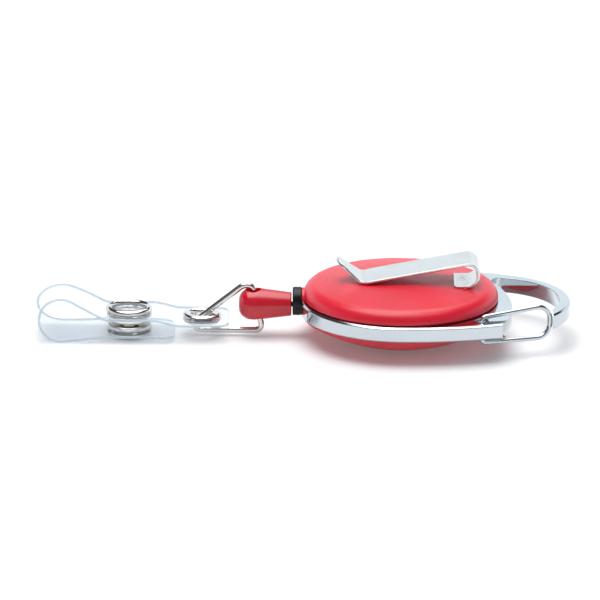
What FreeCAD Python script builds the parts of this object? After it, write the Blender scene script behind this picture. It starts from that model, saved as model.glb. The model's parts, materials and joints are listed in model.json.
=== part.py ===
"""Retractable badge reel with a carabiner frame, belt clip and snap strap.

Row frame, millimetres: X runs along the object, the strap lies towards -X and the hook
towards +X; Z is the spool's axis and points up, out of the back cover; the flat of the
front cover rests on Z = 0 and the gate of the hook is on the -Y side.
"""
import FreeCAD, Part
import os
from math import acos, atan2, cos, hypot, pi, radians, sin, sqrt, tan

import Sketcher

DOC = FreeCAD.newDocument("BadgeReel")
SHEET = DOC.addObject("Spreadsheet::Sheet", "Sheet")

DRIVING = [
    # case
    ("case_radius", 19.6), ("case_wall", 1.2), ("front_flat_radius", 8.8),
    ("front_rim_base", 4.5), ("back_rim_base", 8.5), ("back_rim_top", 8.6),
    ("back_top", 12.3), ("back_rim_round", 2.6), ("seam_inset", 0.7),
    ("spigot_outer", 16.4), ("spigot_inner", 15.6), ("spigot_split", 6.65),
    # carabiner frame
    ("frame_bottom", 5.1), ("frame_thick", 3.1), ("frame_half_width", 20.4),
    ("frame_bore", 16.5), ("frame_bevel", 0.35), ("hook_reach", 34.1),
    ("hook_radius", 16.8), ("hook_band", 2.2), ("nose_end", 30.3), ("bar_end", 20.15),
    ("ring_wall_radius", 36.0), ("wall_top_x", 19.2), ("wall_top_y", 9.8),
    ("hook_corner_round", 2.6), ("hook_corner_angle", 77.0), ("exit_notch_width", 5.8),
    # gate
    ("gate_wire", 1.0), ("gate_pivot_x", 16.0), ("gate_pivot_y", -14.9),
    ("gate_end_x", 29.75), ("gate_end_y", -9.0), ("gate_upper", 8.9), ("gate_lower", 3.65),
    ("gate_end_upper", 9.85), ("gate_end_lower", 3.15), ("gate_bend", 0.9),
    ("gate_end_bend", 2.85), ("gate_pin_depth", 1.1), ("gate_hole_play", 0.05),
    ("gate_recess_radius", 1.3), ("gate_recess_depth", 0.5),
    # cord exit and cord
    ("cord_axis", 6.65), ("collar_axis", 7.3), ("cord_diameter", 1.0), ("boss_radius", 2.75),
    ("boss_end", 19.8), ("boss_start", 15.8), ("collar_radius", 2.875),
    ("collar_length", 1.9), ("collar_barrel", 1.9), ("collar_barrel_length", 2.8),
    ("collar_bore", 0.75), ("collar_round", 0.3),
    # cord end
    ("bulb_start", 21.9), ("bulb_end", 32.5), ("bulb_radius", 3.25),
    ("bulb_widest", 29.4), ("bulb_tip_round", 2.45), ("bulb_neck_radius", 2.4), ("bulb_bore", 0.7),
    ("knot_at", 26.0), ("knot_radius", 1.25), ("knot_room", 1.5),
    ("link_hole_at", 28.9), ("link_lean", 13.0), ("link_hole_play", 0.1),
    ("link_recess_radius", 1.6), ("link_recess_floor", 2.3),
    # wire link
    ("link_wire", 1.25), ("link_top", 10.5), ("link_low", 1.15),
    ("link_shoulder", 31.7), ("link_vertex", 43.4), ("link_bend", 1.2),
    ("link_shoulder_bend", 2.2),
    # strap
    ("strap_thick", 0.55), ("strap_width", 12.7), ("strap_end_round", 2.6),
    ("strap_right_end", 34.4), ("strap_eyelet_height", 3.7), ("strap_upper_height", 4.75),
    ("strap_lower_height", 1.25), ("strap_free_end", 45.3), ("strap_free_height", 0.95),
    ("loop_at", 68.05), ("loop_height", 4.65), ("loop_radius", 4.37),
    ("eyelet_at", 39.9), ("eyelet_hole", 2.1), ("eyelet_wall", 0.35),
    ("eyelet_flange", 3.95), ("eyelet_flange_thick", 0.5), ("eyelet_rise", 0.35), ("washer_flange", 3.8),
    # snap
    ("snap_at", 54.5), ("snap_radius", 4.65), ("snap_opening", 3.4),
    ("snap_ring_height", 1.05), ("socket_height", 1.35), ("socket_bore", 1.9),
    ("stud_radius", 1.75), ("stud_rise", 2.2), ("stud_base", 1.35), ("post_ring", 0.65),
    ("prong_width", 0.9), ("prong_thick", 0.3), ("prong_circle", 3.9),
    # belt clip
    ("clip_thick", 0.55), ("clip_width", 9.0), ("clip_seat", 11.6), ("clip_foot_end", 10.6),
    ("curl_at", 13.2), ("curl_radius", 2.32), ("clip_contact_x", -7.9),
    ("clip_contact_height", 12.32), ("clip_contact_bend", 2.0), ("clip_tip_x", -12.9),
    ("clip_tip_height", 16.3), ("clip_tip_width", 4.6), ("clip_taper_start", -7.4),
    ("rivet_at", 12.2), ("rivet_shank", 0.7), ("rivet_head", 1.1), ("rivet_head_height", 0.4),
    ("rivet_depth", 1.6),
    # spool and spring
    ("post_radius", 2.0), ("post_top", 9.9), ("spool_play", 0.08), ("spool_bottom", 2.0),
    ("spool_web", 0.9), ("drum_outer", 10.2), ("drum_inner", 9.4), ("flange_radius", 15.0),
    ("flange_thick", 0.5), ("groove_low", 5.0), ("groove_high", 8.3),
    ("winding_outer", 13.6), ("winding_gap", 0.05), ("spring_cover_thick", 0.35),
    ("spring_thick", 0.2), ("spring_low", 3.2), ("spring_high", 8.0),
    ("spring_start", 2.45), ("spring_finish", 9.2), ("spring_turns", 9.0),
]

for row, (alias, number) in enumerate(DRIVING, start=1):
    SHEET.set("A%d" % row, alias)
    SHEET.set("B%d" % row, repr(number))
    SHEET.setAlias("B%d" % row, alias)
DOC.recompute()


class Size:
    """A length: its number, and the expression on the sheet's cells that gives it."""

    def __init__(self, number, text):
        self.number = number
        self.text = text

    def __add__(self, other):
        other = as_size(other)
        return Size(self.number + other.number, "(%s + %s)" % (self.text, other.text))

    def __sub__(self, other):
        other = as_size(other)
        return Size(self.number - other.number, "(%s - %s)" % (self.text, other.text))

    def __mul__(self, other):
        other = as_size(other)
        return Size(self.number * other.number, "(%s * %s)" % (self.text, other.text))

    def __truediv__(self, other):
        other = as_size(other)
        return Size(self.number / other.number, "(%s / %s)" % (self.text, other.text))

    def __neg__(self):
        return Size(-self.number, "(-1 * %s)" % self.text)

    def root(self):
        return Size(sqrt(self.number), "sqrt(%s)" % self.text)


def as_size(value):
    if isinstance(value, Size):
        return value
    return Size(float(value), repr(float(value)))


class Sizes:
    """Reads the sheet: sizes.case_radius is the Size held by that alias."""

    def __getattr__(self, alias):
        return Size(float(SHEET.get(alias)), "Sheet." + alias)


class Numbers:
    """Reads the sheet: numbers.case_radius is the plain number held by that alias."""

    def __getattr__(self, alias):
        return float(SHEET.get(alias))


sizes = Sizes()
numbers = Numbers()
FRAME_TOP = sizes.frame_bottom + sizes.frame_thick
FULL_TURN = 360.0


# ---------------------------------------------------------------- document helpers

def bind(thing, path, size):
    thing.setExpression(path, as_size(size).text)


def place(thing, x=0.0, y=0.0, z=0.0):
    bind(thing, "Placement.Base.x", x)
    bind(thing, "Placement.Base.y", y)
    bind(thing, "Placement.Base.z", z)
    return thing


def turn(thing, axis, angle):
    thing.Placement.Rotation = FreeCAD.Rotation(FreeCAD.Vector(*axis), angle)
    return thing


def cylinder(label, radius, height, x=0.0, y=0.0, z=0.0, axis=(0, 0, 1), angle=0.0):
    thing = DOC.addObject("Part::Cylinder", label)
    bind(thing, "Radius", radius)
    bind(thing, "Height", height)
    return place(turn(thing, axis, angle), x, y, z)


def box(label, length, width, height, x, y, z):
    thing = DOC.addObject("Part::Box", label)
    bind(thing, "Length", length)
    bind(thing, "Width", width)
    bind(thing, "Height", height)
    return place(thing, x, y, z)


def sphere(label, radius, x, y, z):
    thing = DOC.addObject("Part::Sphere", label)
    bind(thing, "Radius", radius)
    return place(thing, x, y, z)


def joined(label, things):
    thing = DOC.addObject("Part::MultiFuse", label)
    thing.Shapes = things
    thing.Refine = True
    return thing


def cut(label, base, tools):
    tool = tools[0] if len(tools) == 1 else joined(label + "_tools", tools)
    thing = DOC.addObject("Part::Cut", label)
    thing.Base = base
    thing.Tool = tool
    return thing


def shaped(label, shape, z=0.0):
    thing = DOC.addObject("Part::Feature", label)
    thing.Shape = shape
    thing.Placement = FreeCAD.Placement(FreeCAD.Vector(0, 0, z), FreeCAD.Rotation())
    return thing


def origin_plane(body, role):
    return [plane for plane in body.Origin.OriginFeatures if plane.Role == role][0]


def arc_centre(start, end, radius):
    """Centre of the short arc; a positive radius turns left on its way, a negative right."""
    half_x = (end[0] - start[0]) / 2
    half_y = (end[1] - start[1]) / 2
    half = hypot(half_x, half_y)
    height = sqrt(max(radius * radius - half * half, 0.0))
    side = 1.0 if radius > 0 else -1.0
    return (start[0] + half_x - side * half_y / half * height,
            start[1] + half_y + side * half_x / half * height)


def arc_edge(start, end, radius):
    centre = arc_centre(start, end, radius)
    if radius < 0:
        start, end = end, start
    first = atan2(start[1] - centre[1], start[0] - centre[0])
    last = atan2(end[1] - centre[1], end[0] - centre[0])
    circle = Part.Circle(FreeCAD.Vector(centre[0], centre[1], 0),
                         FreeCAD.Vector(0, 0, 1), abs(radius))
    return Part.ArcOfCircle(circle, first, last)


def outline(body, role, corners):
    """A closed sketch. A corner is (x, y), or (x, y, radius) when an arc leaves it."""
    sketch = body.newObject("Sketcher::SketchObject", body.Label + "_outline")
    sketch.AttachmentSupport = [(origin_plane(body, role), "")]
    sketch.MapMode = "FlatFace"
    corners = [tuple(as_size(value) for value in corner) for corner in corners]
    count = len(corners)
    for index, corner in enumerate(corners):
        after = corners[(index + 1) % count]
        start = (corner[0].number, corner[1].number)
        end = (after[0].number, after[1].number)
        if len(corner) == 3:
            sketch.addGeometry(arc_edge(start, end, corner[2].number), False)
        else:
            sketch.addGeometry(Part.LineSegment(FreeCAD.Vector(*start, 0),
                                                FreeCAD.Vector(*end, 0)), False)
    for index, corner in enumerate(corners):
        tie_corner(sketch, index, corner)
        after = corners[(index + 1) % count]
        sketch.addConstraint(Sketcher.Constraint(
            "Coincident", index, far_end(corner), (index + 1) % count, near_end(after)))
    return sketch


def near_end(corner):
    """Which end of its edge a corner is: an arc that turns right is stored backwards."""
    return 2 if len(corner) == 3 and corner[2].number < 0 else 1


def far_end(corner):
    return 3 - near_end(corner)


def tie_corner(sketch, index, corner):
    end = near_end(corner)
    for kind, axis, size in (("DistanceX", -2, corner[0]), ("DistanceY", -1, corner[1])):
        if abs(size.number) < 1e-9:
            sketch.addConstraint(Sketcher.Constraint("PointOnObject", index, end, axis))
            continue
        name = "%s_%d" % (kind, index)
        number = sketch.addConstraint(Sketcher.Constraint(kind, index, end, size.number))
        sketch.renameConstraint(number, name)
        bind(sketch, "Constraints." + name, size)
    if len(corner) == 3:
        name = "Radius_%d" % index
        radius = corner[2] if corner[2].number > 0 else -corner[2]
        number = sketch.addConstraint(Sketcher.Constraint("Radius", index, radius.number))
        sketch.renameConstraint(number, name)
        bind(sketch, "Constraints." + name, radius)


def revolved(label, corners, axis="V_Axis"):
    """A body turned about Z (V_Axis) or about X (H_Axis) from an outline in the XZ plane."""
    body = DOC.addObject("PartDesign::Body", label)
    sketch = outline(body, "XZ_Plane", corners)
    turned = body.newObject("PartDesign::Revolution", label + "_revolution")
    turned.Profile = sketch
    turned.ReferenceAxis = (sketch, [axis])
    turned.Angle = FULL_TURN
    return body


def padded(label, corners, bottom, thick):
    body = DOC.addObject("PartDesign::Body", label)
    pad = body.newObject("PartDesign::Pad", label + "_pad")
    pad.Profile = outline(body, "XY_Plane", corners)
    bind(pad, "Length", thick)
    place(body, z=bottom)
    return body, pad


# ---------------------------------------------------------------- bent wires and strips

def lines_of(corners):
    return [(corners[i], corners[i + 1]) for i in range(len(corners) - 1)]


def heading(start, end):
    return atan2(end[1] - start[1], end[0] - start[0])


def shifted(corners, distance):
    """The same open path of (u, v, bend radius) corners, moved to its left by distance."""
    moved = []
    headings = [heading(start, end) for start, end in lines_of(corners)]
    for index, (u, v, bend) in enumerate(corners):
        before = headings[max(index - 1, 0)]
        after = headings[min(index, len(headings) - 1)]
        swing = (after - before + pi) % (2 * pi) - pi
        middle = before + swing / 2 + pi / 2
        reach = distance / cos(swing / 2)
        inner = bend - distance if swing > 0 else bend + distance
        moved.append((u + reach * cos(middle), v + reach * sin(middle), inner if bend else 0.0))
    return moved


def bent_edges(corners, point, closed=False):
    """Straight runs joined by tangent arcs; point turns (u, v) into a place in space."""
    count = len(corners)
    starts = []
    ends = []
    arcs = []
    for index, (u, v, bend) in enumerate(corners):
        if not closed and index in (0, count - 1):
            starts.append((u, v))
            ends.append((u, v))
            arcs.append(None)
            continue
        before = heading(corners[index - 1], corners[index])
        after = heading(corners[index], corners[(index + 1) % count])
        swing = (after - before + pi) % (2 * pi) - pi
        reach = bend * tan(abs(swing) / 2)
        start = (u - reach * cos(before), v - reach * sin(before))
        end = (u + reach * cos(after), v + reach * sin(after))
        side = 1.0 if swing > 0 else -1.0
        centre = (start[0] - side * bend * sin(before), start[1] + side * bend * cos(before))
        across = (u - centre[0], v - centre[1])
        scale = bend / hypot(*across)
        middle = (centre[0] + across[0] * scale, centre[1] + across[1] * scale)
        starts.append(start)
        ends.append(end)
        arcs.append(Part.Arc(point(*start), point(*middle), point(*end)))
    edges = []
    for index in range(count if closed else count - 1):
        after = (index + 1) % count
        if arcs[index]:
            edges.append(arcs[index].toShape())
        run_start = point(*ends[index])
        run_end = point(*starts[after])
        if run_start.distanceToPoint(run_end) > 1e-4:
            edges.append(Part.LineSegment(run_start, run_end).toShape())
    return edges


def in_xz(y=0.0):
    return lambda u, v: FreeCAD.Vector(u, y, v)


def bent_wire(corners, diameter, point, closed=False):
    path = Part.Wire(bent_edges(corners, point, closed))
    first = path.OrderedEdges[0]
    start = first.valueAt(first.FirstParameter)
    along = first.tangentAt(first.FirstParameter)
    section = Part.Wire(Part.Circle(start, along, diameter / 2).toShape())
    return path.makePipeShell([section], True, True)


def bent_strip(corners, thick, width):
    """A flat strip, its middle line in the XZ plane, its width along Y."""
    point = in_xz(-width / 2)
    left = shifted(corners, thick / 2)
    right = shifted(corners, -thick / 2)
    left_edges = bent_edges(left, point)
    right_edges = bent_edges(right, point)
    close_start = Part.LineSegment(point(*left[0][:2]), point(*right[0][:2])).toShape()
    close_end = Part.LineSegment(point(*left[-1][:2]), point(*right[-1][:2])).toShape()
    edges = left_edges + right_edges + [close_start, close_end]
    face = Part.Face(Part.Wire(Part.__sortEdges__(edges)))
    return face.extrude(FreeCAD.Vector(0, width, 0))


def arc_corners(centre, radius, first, last, count):
    """Corners that, each bent to radius, follow one arc from angle first to angle last."""
    step = (last - first) / count
    reach = radius / cos(step / 2)
    angles = [first + step * (index + 0.5) for index in range(count)]
    return [(centre[0] + reach * cos(angle), centre[1] + reach * sin(angle), radius)
            for angle in angles]


def rounded_ends(shape, x, radius):
    """Rounds the plan corners of a strip at its end near x."""
    edges = []
    for edge in shape.Edges:
        middle = edge.CenterOfMass
        upright = abs(edge.tangentAt(edge.FirstParameter).y) < 0.1
        if upright and abs(middle.x - x) < 0.3 and edge.Length < 1.0:
            edges.append(edge)
    return shape.makeFillet(radius, edges)


# ---------------------------------------------------------------- case

def front_cover():
    """Deeper dome with a flat to lie on, the spool's post and half of the cord boss."""
    s = sizes
    sphere_drop = s.case_radius * s.case_radius - s.front_flat_radius * s.front_flat_radius
    sphere_centre = (sphere_drop + s.front_rim_base * s.front_rim_base) / (s.front_rim_base * 2)
    sphere_radius = (sphere_centre * sphere_centre
                     + s.front_flat_radius * s.front_flat_radius).root()
    floor = s.case_wall
    shell = revolved("front_shell", [
        (0, 0),
        (s.front_flat_radius, 0, sphere_radius),
        (s.case_radius, s.front_rim_base),
        (s.case_radius, s.frame_bottom),
        (s.spigot_outer, s.frame_bottom),
        (s.spigot_outer, s.spigot_split - 0.05),
        (s.spigot_inner, s.spigot_split - 0.05),
        (s.spigot_inner, floor + 2.4),
        (s.drum_outer - 0.6, floor),
        (s.post_radius, floor),
        (s.post_radius, s.post_top),
        (0, s.post_top),
    ])
    boss = cord_boss("front_boss", upper=False)
    slot = box("spring_slot", s.post_radius * 2, s.spring_thick + 0.15, s.post_top,
               -s.post_radius, -(s.spring_thick + 0.15) / 2, s.spring_low - 0.1)
    whole = joined("front_whole", [shell, boss])
    return cut("front_cover", whole, [slot, collar_seat("front_collar_seat")])


def back_cover():
    """Low dome with a rounded rim, a socket for the post and half of the cord boss."""
    s = sizes
    rise = s.back_top - s.back_rim_top
    inset = s.case_radius - s.back_rim_round
    dome = (inset * inset + rise * rise - s.back_rim_round * s.back_rim_round) / (
        (rise - s.back_rim_round) * 2)
    share = s.back_rim_round / (dome - s.back_rim_round)
    meet_x = inset + inset * share
    meet_z = s.back_rim_top + (s.back_rim_top - s.back_top + dome) * share
    inner_top = s.back_top - s.case_wall
    shell = revolved("back_shell", [
        (0, s.back_top, -dome),
        (meet_x, meet_z, -s.back_rim_round),
        (s.case_radius, s.back_rim_top),
        (s.case_radius, s.back_rim_base),
        (s.case_radius - s.seam_inset, s.back_rim_base),
        (s.case_radius - s.seam_inset, FRAME_TOP),
        (s.spigot_outer, FRAME_TOP),
        (s.spigot_outer, s.spigot_split + 0.05),
        (s.spigot_inner, s.spigot_split + 0.05),
        (s.spigot_inner, inner_top - 1.1, dome - s.case_wall),
        (s.post_radius + 1.2, inner_top - 0.05),
        (s.post_radius + 1.2, s.post_top - 0.6),
        (s.post_radius + 0.06, s.post_top - 0.6),
        (s.post_radius + 0.06, s.post_top + 0.15),
        (0, s.post_top + 0.15),
    ])
    nubs = [sphere("clip_nub_%d" % side, 0.5, s.rivet_at + 0.6,
                   s.clip_width * (side / 2.0) + 0.25 * side, s.clip_seat - 0.15)
            for side in (-1, 1)]
    whole = joined("back_whole", [shell, cord_boss("back_boss", upper=True)] + nubs)
    seat = box("clip_seat", 6.0, s.clip_width, 2.0, s.clip_foot_end - 0.1,
               -s.clip_width / 2, s.clip_seat)
    shank = cylinder("rivet_hole", s.rivet_shank, 4.0, s.rivet_at, 0, s.clip_seat - 3.0)
    spot = cylinder("rivet_spot", s.rivet_head + 0.1, 2.0, s.rivet_at, 0,
                    s.clip_seat - s.rivet_depth + s.rivet_head_height - 2.0)
    return cut("back_cover", whole, [seat, shank, spot, collar_seat("back_collar_seat")])


def cord_boss(label, upper):
    """Half of the round boss that fills the frame's notch and holds the collar."""
    s = sizes
    length = s.boss_end - s.boss_start
    rod = cylinder(label + "_rod", s.boss_radius, length, -s.boss_end, 0, s.collar_axis,
                   (0, 1, 0), 90.0)
    low = s.cord_axis if upper else s.cord_axis - s.boss_radius * 3
    half = box(label + "_half", length + 2.0, s.boss_radius * 2, s.boss_radius * 3,
               -s.boss_end - 1.0, -s.boss_radius, low)
    thing = DOC.addObject("Part::Common", label)
    thing.Base = rod
    thing.Tool = half
    return thing


def collar_seat(label):
    """Bore for the collar's barrel, and a wider window where the cord comes off the spool."""
    s = sizes
    wall = s.spigot_outer - s.spigot_inner
    bore = cylinder(label + "_bore", s.collar_barrel, s.boss_end - s.boss_start + 2.0,
                    -s.boss_end - 1.0, 0, s.collar_axis, (0, 1, 0), 90.0)
    window = box(label + "_window", wall + 1.0, s.boss_radius * 3, s.cord_diameter * 1.8,
                 -s.spigot_outer - 0.1, -s.boss_radius * 1.5,
                 s.cord_axis - s.cord_diameter * 0.9)
    return joined(label, [bore, window])


def exit_collar():
    """Collar pressed into the boss; the cord leaves it low, where the bulb hangs."""
    s = sizes
    body = revolved("collar_body", [
        (-s.boss_end - s.collar_length, 0),
        (-s.boss_end + s.collar_barrel_length, 0),
        (-s.boss_end + s.collar_barrel_length, s.collar_barrel),
        (-s.boss_end, s.collar_barrel),
        (-s.boss_end, s.collar_radius - s.collar_round, s.collar_round),
        (-s.boss_end - s.collar_round, s.collar_radius),
        (-s.boss_end - s.collar_length + s.collar_round, s.collar_radius, s.collar_round),
        (-s.boss_end - s.collar_length, s.collar_radius - s.collar_round),
    ], "H_Axis")
    place(body, z=s.collar_axis)
    bore = cylinder("collar_cord_bore", s.collar_bore, s.collar_length * 4,
                    -s.boss_end - s.collar_length * 2, 0, s.cord_axis, (0, 1, 0), 90.0)
    return cut("exit_collar", body, [bore])


# ---------------------------------------------------------------- carabiner frame and gate

def carabiner_frame():
    """Ring round the case that runs on into a hook; its outline is tangent arcs."""
    s = sizes
    hook_x = s.hook_reach - s.hook_radius
    inner = s.hook_radius - s.hook_band
    half = s.frame_half_width
    side = (hook_x * hook_x + half * half - s.hook_radius * s.hook_radius) / (
        (half - s.hook_radius) * 2)
    meet_x = hook_x + s.hook_radius * hook_x / (side - s.hook_radius)
    meet_y = s.hook_radius * (side - half) / (side - s.hook_radius)
    nose = s.nose_end - hook_x
    nose_outer = (s.hook_radius * s.hook_radius - nose * nose).root()
    nose_inner = (inner * inner - nose * nose).root()
    bar_y = side - half - (side * side - s.bar_end * s.bar_end).root()
    corner = radians(numbers.hook_corner_angle)
    body, pad = padded("frame_plate", [
        (s.nose_end, -nose_outer, s.hook_radius),
        (meet_x, meet_y, side),
        (0, half, half),
        (-half, 0, half),
        (0, -half, side),
        (s.bar_end, bar_y, s.ring_wall_radius),
        (s.wall_top_x, s.wall_top_y, -s.hook_corner_round),
        (hook_x + inner * cos(corner), inner * sin(corner), -inner),
        (s.nose_end, -nose_inner),
    ], s.frame_bottom, s.frame_thick)
    DOC.recompute()
    bevel = body.newObject("PartDesign::Chamfer", "frame_bevel")
    outside = (s.hook_radius.number, side.number, half.number)
    bevel.Base = (pad, arc_names(pad, outside))
    bind(bevel, "Size", s.frame_bevel)
    bore = cylinder("frame_bore", s.frame_bore, 10.0, 0, 0, 1.0)
    notch = box("exit_notch", half, s.exit_notch_width, 10.0, -half - 1.0,
                -s.exit_notch_width / 2, 1.0)
    hole = s.gate_wire / 2 + s.gate_hole_play
    drill = s.gate_pin_depth + 0.15
    pins = [
        cylinder("gate_hole_top", hole, drill + 2.0, s.gate_pivot_x, s.gate_pivot_y,
                 FRAME_TOP - drill),
        cylinder("gate_hole_low", hole, drill + 2.0, s.gate_pivot_x, s.gate_pivot_y,
                 s.frame_bottom - 2.0),
        cylinder("gate_recess_top", s.gate_recess_radius, 2.0, s.gate_pivot_x,
                 s.gate_pivot_y, FRAME_TOP - s.gate_recess_depth),
        cylinder("gate_recess_low", s.gate_recess_radius, 2.0, s.gate_pivot_x,
                 s.gate_pivot_y, s.frame_bottom + s.gate_recess_depth - 2.0),
    ]
    return cut("carabiner_frame", body, [bore, notch] + pins)


def arc_names(feature, radii):
    """The names of the flat arcs of a pad that have one of these radii."""
    names = []
    for index, edge in enumerate(feature.Shape.Edges, start=1):
        radius = getattr(edge.Curve, "Radius", 0.0)
        if any(abs(radius - wanted) < 1e-3 for wanted in radii):
            names.append("Edge%d" % index)
    return names


def gate_wire():
    """A long U of wire in an upright plane, both ends bent into the bar on one axis."""
    n = numbers
    across = (n.gate_end_x - n.gate_pivot_x, n.gate_end_y - n.gate_pivot_y)
    length = hypot(*across)
    way = (across[0] / length, across[1] / length)
    frame_top = n.frame_bottom + n.frame_thick

    def point(along, height):
        return FreeCAD.Vector(n.gate_pivot_x + way[0] * along,
                              n.gate_pivot_y + way[1] * along, height)

    corners = [
        (0.0, frame_top - n.gate_pin_depth, 0.0),
        (0.0, n.gate_upper, n.gate_bend),
        (length, n.gate_end_upper, n.gate_end_bend),
        (length, n.gate_end_lower, n.gate_end_bend),
        (0.0, n.gate_lower, n.gate_bend),
        (0.0, n.frame_bottom + n.gate_pin_depth, 0.0),
    ]
    return shaped("gate_wire", bent_wire(corners, n.gate_wire, point))


# ---------------------------------------------------------------- belt clip

def clip_corners():
    """Middle line of the strip: foot, curl, arm, contact bend and tip."""
    n = numbers
    centre = (n.curl_at, n.clip_seat + n.clip_thick / 2 + n.curl_radius)
    foot = (n.clip_foot_end, centre[1] - n.curl_radius, 0.0)
    reach = (n.clip_contact_x - centre[0], n.clip_contact_height - centre[1])
    distance = hypot(*reach)
    leave = atan2(reach[1], reach[0]) - acos(n.curl_radius / distance)
    leave = leave % (2 * pi)
    quarter = arc_corners(centre, n.curl_radius, -pi / 2, pi / 2, 3)
    rest = arc_corners(centre, n.curl_radius, pi / 2, leave, 1)
    contact = (n.clip_contact_x, n.clip_contact_height, n.clip_contact_bend)
    tip = (n.clip_tip_x, n.clip_tip_height, 0.0)
    top = (centre[0], centre[1] + n.curl_radius, 0.0)
    return [foot] + quarter + [top], [top] + rest + [contact, tip]


def clip_plan():
    """Plan of the clip: parallel sides, then a taper to a rounded tip."""
    n = numbers
    half = n.clip_width / 2
    tip_half = n.clip_tip_width / 2
    shoulder = n.clip_tip_x + tip_half
    back = n.curl_at + n.curl_radius * 2
    height = 2 * n.back_top

    def point(x, y):
        return FreeCAD.Vector(x, y, 0)

    edges = [
        Part.LineSegment(point(back, -half), point(back, half)).toShape(),
        Part.LineSegment(point(back, half), point(n.clip_taper_start, half)).toShape(),
        Part.LineSegment(point(n.clip_taper_start, half), point(shoulder, tip_half)).toShape(),
        Part.Arc(point(shoulder, tip_half), point(n.clip_tip_x - 0.05, 0),
                 point(shoulder, -tip_half)).toShape(),
        Part.LineSegment(point(shoulder, -tip_half), point(n.clip_taper_start, -half)).toShape(),
        Part.LineSegment(point(n.clip_taper_start, -half), point(back, -half)).toShape(),
    ]
    return Part.Face(Part.Wire(edges)).extrude(FreeCAD.Vector(0, 0, height))


def belt_clip():
    n = numbers
    foot, arm = clip_corners()
    foot_strip = bent_strip(foot, n.clip_thick, n.clip_width)
    shank = Part.makeCylinder(n.rivet_shank, 2.0, FreeCAD.Vector(n.rivet_at, 0, n.clip_seat - 1))
    arm_strip = bent_strip(arm, n.clip_thick, n.clip_width).common(clip_plan())
    return [shaped("belt_clip_foot", foot_strip.cut(shank)),
            shaped("belt_clip_arm", arm_strip)]


def clip_rivet():
    """Wide head inside the cover, shank set flush with the top of the clip's foot."""
    s = sizes
    top = s.clip_seat + s.clip_thick
    low = s.clip_seat - s.rivet_depth
    body = revolved("clip_rivet", [
        (0, low),
        (s.rivet_head, low),
        (s.rivet_head, low + s.rivet_head_height),
        (s.rivet_shank, low + s.rivet_head_height),
        (s.rivet_shank, top),
        (0, top),
    ])
    return place(body, x=s.rivet_at)


# ---------------------------------------------------------------- spool, spring and cord

def spool():
    s = sizes
    bore = s.post_radius + s.spool_play
    low_flange = s.groove_low - s.flange_thick
    top = s.groove_high + s.flange_thick
    ledge = top - s.spring_cover_thick
    return revolved("spool", [
        (bore, s.spool_bottom),
        (s.drum_outer, s.spool_bottom),
        (s.drum_outer, low_flange),
        (s.flange_radius, low_flange),
        (s.flange_radius, s.groove_low),
        (s.drum_outer, s.groove_low),
        (s.drum_outer, s.groove_high),
        (s.flange_radius, s.groove_high),
        (s.flange_radius, top),
        (s.drum_inner + 0.4, top),
        (s.drum_inner + 0.4, ledge),
        (s.drum_inner, ledge),
        (s.drum_inner, s.spool_bottom + s.spool_web),
        (bore, s.spool_bottom + s.spool_web),
    ])


def spring_cover():
    s = sizes
    top = s.groove_high + s.flange_thick
    return revolved("spring_cover", [
        (s.post_radius + 0.3, top - s.spring_cover_thick),
        (s.drum_inner + 0.35, top - s.spring_cover_thick),
        (s.drum_inner + 0.35, top),
        (s.post_radius + 0.3, top),
    ])


def cord_winding():
    s = sizes
    low = s.groove_low + s.winding_gap
    high = s.groove_high - s.winding_gap
    crown = s.winding_outer - s.cord_diameter / 2
    return revolved("cord_winding", [
        (s.drum_outer + s.winding_gap, low),
        (crown, low, s.groove_high - s.groove_low),
        (crown, high),
        (s.drum_outer + s.winding_gap, high),
    ])


def power_spring():
    """Flat spiral: half turns of growing radius, its inner end in the post's slot."""
    n = numbers
    half_turns = int(2 * n.spring_turns)
    step = (n.spring_finish - n.spring_start) / half_turns
    edges = {-1: [], 1: []}
    ends = {}
    for side in (-1, 1):
        offset = side * n.spring_thick / 2
        x = n.spring_start + offset
        for index in range(half_turns):
            way = 1 if index % 2 == 0 else -1
            span = 2 * (n.spring_start + step * (index + 0.5)) + 2 * offset
            start = FreeCAD.Vector(x, 0, 0)
            finish = FreeCAD.Vector(x - way * span, 0, 0)
            middle = FreeCAD.Vector(x - way * span / 2, way * span / 2, 0)
            edges[side].append(Part.Arc(start, middle, finish).toShape())
            x = x - way * span
        ends[side] = x
    caps = [
        Part.LineSegment(FreeCAD.Vector(n.spring_start - n.spring_thick / 2, 0, 0),
                         FreeCAD.Vector(n.spring_start + n.spring_thick / 2, 0, 0)).toShape(),
        Part.LineSegment(FreeCAD.Vector(ends[-1], 0, 0),
                         FreeCAD.Vector(ends[1], 0, 0)).toShape(),
    ]
    face = Part.Face(Part.Wire(Part.__sortEdges__(edges[-1] + edges[1] + caps)))
    width = n.spring_high - n.spring_low
    ribbon = face.extrude(FreeCAD.Vector(0, 0, width))
    tab = Part.makeBox(n.spring_start, n.spring_thick, width,
                       FreeCAD.Vector(0.2, -n.spring_thick / 2, 0))
    whole = ribbon.fuse(tab).removeSplitter()
    return shaped("power_spring", whole, n.spring_low)


def cord_run():
    """The cord between the winding and the exit: off the winding, round into the bore."""
    n = numbers
    winding = n.winding_outer + n.cord_diameter / 2 + 0.2
    exit_x = -(n.boss_start + 0.9)
    angle = acos(winding / abs(exit_x))
    leave = (-winding * cos(angle), -winding * sin(angle), 0.0)
    corners = [leave, (exit_x, 0.0, 1.2), (-n.boss_end + n.collar_barrel_length - 0.4, 0.0, 0.0)]

    def point(x, y):
        return FreeCAD.Vector(x, y, n.cord_axis)

    return shaped("cord_run", bent_wire(corners, n.cord_diameter, point))


def cord_lead():
    s = sizes
    start = s.boss_end - s.collar_barrel_length + 0.5
    return cylinder("cord_lead", s.cord_diameter / 2, s.knot_at - s.knot_radius * 0.9 - start,
                    -s.knot_at + s.knot_radius * 0.9, 0, s.cord_axis, (0, 1, 0), 90.0)


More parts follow.
